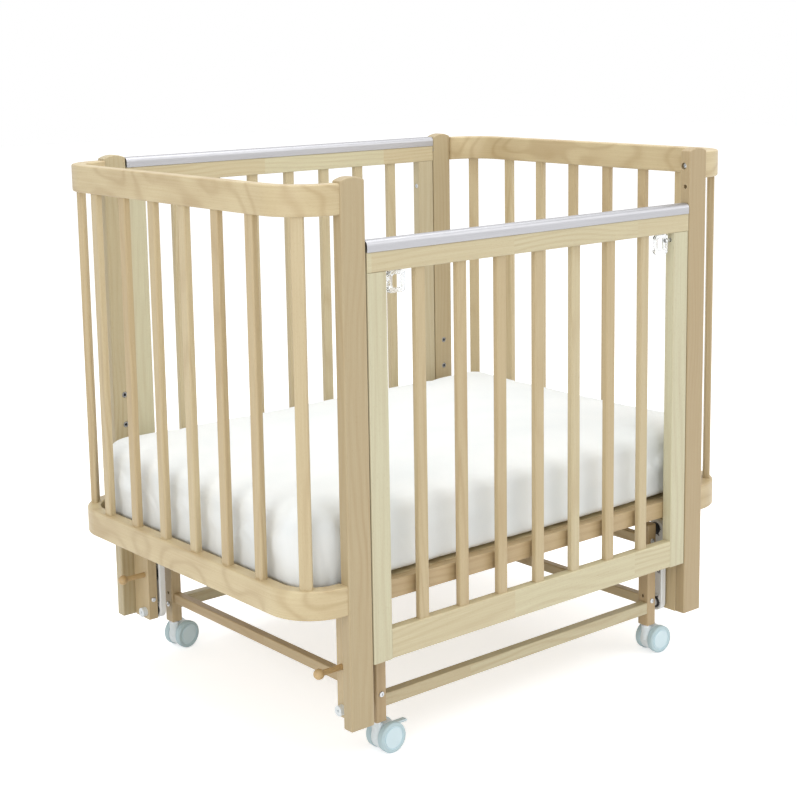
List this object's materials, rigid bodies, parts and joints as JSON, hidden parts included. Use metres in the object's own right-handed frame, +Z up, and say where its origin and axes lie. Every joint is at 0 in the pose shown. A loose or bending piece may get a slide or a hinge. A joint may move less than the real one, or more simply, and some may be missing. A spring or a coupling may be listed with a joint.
{
  "type": "pendulum crib",
  "caption": "Slatted wooden crib with bent end rails and a mattress, hung on pendulum links from a low base on casters, with a sliding front side and locking pegs.",
  "frame": {"origin": "on the floor, under the middle of the crib", "axes": "+X along the crib, -Y out of the sliding front side, +Z up"},
  "size_m": [0.982, 0.702, 0.9195],
  "materials": {
    "beech": "satin lacquer",
    "bent_beech": "satin lacquer",
    "board": "matt",
    "rail_cap": "satin anodised",
    "steel_screw": "zinc plated",
    "insert": "dark zinc",
    "clear_latch": "clear",
    "link_plastic": "satin",
    "pivot_cap": "satin",
    "caster_grey": "satin",
    "caster_white": "satin",
    "mattress_cover": "soft matt"
  },
  "bodies": {
    "base_frame": {"base_legs": "beech", "base_long_stretchers": "beech", "base_cross_rails": "beech", "base_screws": "steel_screw", "caster_sockets": "insert", "high_pivots": "steel_screw"},
    "link_front_left": {"swing_link_front_left": "link_plastic"},
    "link_front_right": {"swing_link_front_right": "link_plastic"},
    "link_back_left": {"swing_link_back_left": "link_plastic"},
    "link_back_right": {"swing_link_back_right": "link_plastic"},
    "crib_body": {"post_front_left": "beech", "post_front_right": "beech", "post_back_left": "beech", "post_back_right": "beech", "end_rail_top_left": "bent_beech", "end_rail_top_right": "bent_beech", "end_rail_low_left": "bent_beech", "end_rail_low_right": "bent_beech", "end_slats_left": "beech", "end_slats_right": "beech", "end_rail_screws": "steel_screw", "end_rail_inserts": "insert", "bed_height_inserts": "insert", "back_side_stiles": "beech", "back_side_top_rail": "beech", "back_side_low_rail": "beech", "back_side_slats": "beech", "back_side_cap": "rail_cap", "back_side_screws": "steel_screw", "bed_rails": "beech", "bed_battens": "beech", "bed_board": "board", "bed_screws": "steel_screw", "mattress": "mattress_cover", "pendulum_blocks": "beech", "pendulum_block_screws": "steel_screw", "low_pivots": "pivot_cap"},
    "drop_side": {"drop_side_stiles": "beech", "drop_side_top_rail": "beech", "drop_side_low_rail": "beech", "drop_side_slats": "beech", "drop_side_cap": "rail_cap", "drop_side_guide_pins": "steel_screw"},
    "latch_left": {"drop_side_latch_left": "clear_latch"},
    "latch_right": {"drop_side_latch_right": "clear_latch"},
    "peg_front_left": {"locking_peg_front_left": "beech"},
    "caster_front_left": {"caster_hood_front_left": "caster_white"},
    "wheels_front_left": {"caster_wheels_front_left": "caster_grey"},
    "peg_front_right": {"locking_peg_front_right": "beech"},
    "caster_front_right": {"caster_hood_front_right": "caster_white"},
    "wheels_front_right": {"caster_wheels_front_right": "caster_grey"},
    "peg_back_left": {"locking_peg_back_left": "beech"},
    "caster_back_left": {"caster_hood_back_left": "caster_white"},
    "wheels_back_left": {"caster_wheels_back_left": "caster_grey"},
    "peg_back_right": {"locking_peg_back_right": "beech"},
    "caster_back_right": {"caster_hood_back_right": "caster_white"},
    "wheels_back_right": {"caster_wheels_back_right": "caster_grey"},
    "brake_front_left": {"caster_brake_front_left": "caster_grey"},
    "brake_back_right": {"caster_brake_back_right": "caster_grey"}
  },
  "joints": [
    {"name": "swing", "type": "hinge", "parent": "base_frame", "child": "link_front_left", "pos_m": [-0.3515, -0.294, 0.227], "axis": [1, 0, 0], "range_deg": [-6, 6]},
    {"name": "crib_level", "type": "hinge", "parent": "link_front_left", "child": "crib_body", "pos_m": [-0.3515, -0.294, 0.087], "axis": [1, 0, 0], "range_deg": [-6, 6]},
    {"name": "link_swing_front_right", "type": "hinge", "parent": "base_frame", "child": "link_front_right", "pos_m": [0.3515, -0.294, 0.227], "axis": [1, 0, 0], "range_deg": [-6, 6]},
    {"name": "link_swing_back_left", "type": "hinge", "parent": "base_frame", "child": "link_back_left", "pos_m": [-0.3515, 0.294, 0.227], "axis": [1, 0, 0], "range_deg": [-6, 6]},
    {"name": "link_swing_back_right", "type": "hinge", "parent": "base_frame", "child": "link_back_right", "pos_m": [0.3515, 0.294, 0.227], "axis": [1, 0, 0], "range_deg": [-6, 6]},
    {"name": "side_slide", "type": "slide", "parent": "crib_body", "child": "drop_side", "axis": [0, 0, 1], "range_m": [0, 0.09]},
    {"name": "latch_slide_left", "type": "slide", "parent": "drop_side", "child": "latch_left", "axis": [-1, 0, 0], "range_m": [0, 0.01]},
    {"name": "latch_slide_right", "type": "slide", "parent": "drop_side", "child": "latch_right", "axis": [1, 0, 0], "range_m": [0, 0.01]},
    {"name": "peg_slide_front_left", "type": "slide", "parent": "crib_body", "child": "peg_front_left", "axis": [1, 0, 0], "range_m": [-0.01, 0.0024]},
    {"name": "peg_slide_front_right", "type": "slide", "parent": "crib_body", "child": "peg_front_right", "axis": [-1, 0, 0], "range_m": [-0.01, 0.0024]},
    {"name": "peg_slide_back_left", "type": "slide", "parent": "crib_body", "child": "peg_back_left", "axis": [1, 0, 0], "range_m": [-0.01, 0.0024]},
    {"name": "peg_slide_back_right", "type": "slide", "parent": "crib_body", "child": "peg_back_right", "axis": [-1, 0, 0], "range_m": [-0.01, 0.0024]},
    {"name": "caster_swivel_front_left", "type": "hinge", "parent": "base_frame", "child": "caster_front_left", "pos_m": [-0.3165, -0.3, 0.0527], "axis": [0, 0, 1], "continuous": true},
    {"name": "wheel_spin_front_left", "type": "hinge", "parent": "caster_front_left", "child": "wheels_front_left", "pos_m": [-0.2995, -0.3003, 0.025], "axis": [0.0175, 0.9998, 0], "continuous": true},
    {"name": "brake_front_left_pivot", "type": "hinge", "parent": "caster_front_left", "child": "brake_front_left", "pos_m": [-0.28651, -0.30052, 0.039], "axis": [0.0175, 0.9998, 0], "range_deg": [0, 12]},
    {"name": "caster_swivel_front_right", "type": "hinge", "parent": "base_frame", "child": "caster_front_right", "pos_m": [0.3165, -0.3, 0.0527], "axis": [0, 0, 1], "continuous": true},
    {"name": "wheel_spin_front_right", "type": "hinge", "parent": "caster_front_right", "child": "wheels_front_right", "pos_m": [0.33346, -0.30119, 0.025], "axis": [0.0698, 0.9976, 0], "continuous": true},
    {"name": "caster_swivel_back_left", "type": "hinge", "parent": "base_frame", "child": "caster_back_left", "pos_m": [-0.3165, 0.3, 0.0527], "axis": [0, 0, 1], "continuous": true},
    {"name": "wheel_spin_back_left", "type": "hinge", "parent": "caster_back_left", "child": "wheels_back_left", "pos_m": [-0.29971, 0.30266, 0.025], "axis": [-0.1564, 0.9877, 0], "continuous": true},
    {"name": "caster_swivel_back_right", "type": "hinge", "parent": "base_frame", "child": "caster_back_right", "pos_m": [0.3165, 0.3, 0.0527], "axis": [0, 0, 1], "continuous": true},
    {"name": "wheel_spin_back_right", "type": "hinge", "parent": "caster_back_right", "child": "wheels_back_right", "pos_m": [0.33343, 0.30148, 0.025], "axis": [-0.0872, 0.9962, 0], "continuous": true},
    {"name": "brake_back_right_pivot", "type": "hinge", "parent": "caster_back_right", "child": "brake_back_right", "pos_m": [0.34639, 0.30262, 0.039], "axis": [-0.0872, 0.9962, 0], "range_deg": [0, 12]}
  ],
  "couplings": [
    {"joint": "crib_level", "follows": "swing", "ratio": -1},
    {"joint": "link_swing_front_right", "follows": "swing", "ratio": 1},
    {"joint": "link_swing_back_left", "follows": "swing", "ratio": 1},
    {"joint": "link_swing_back_right", "follows": "swing", "ratio": 1}
  ]
}
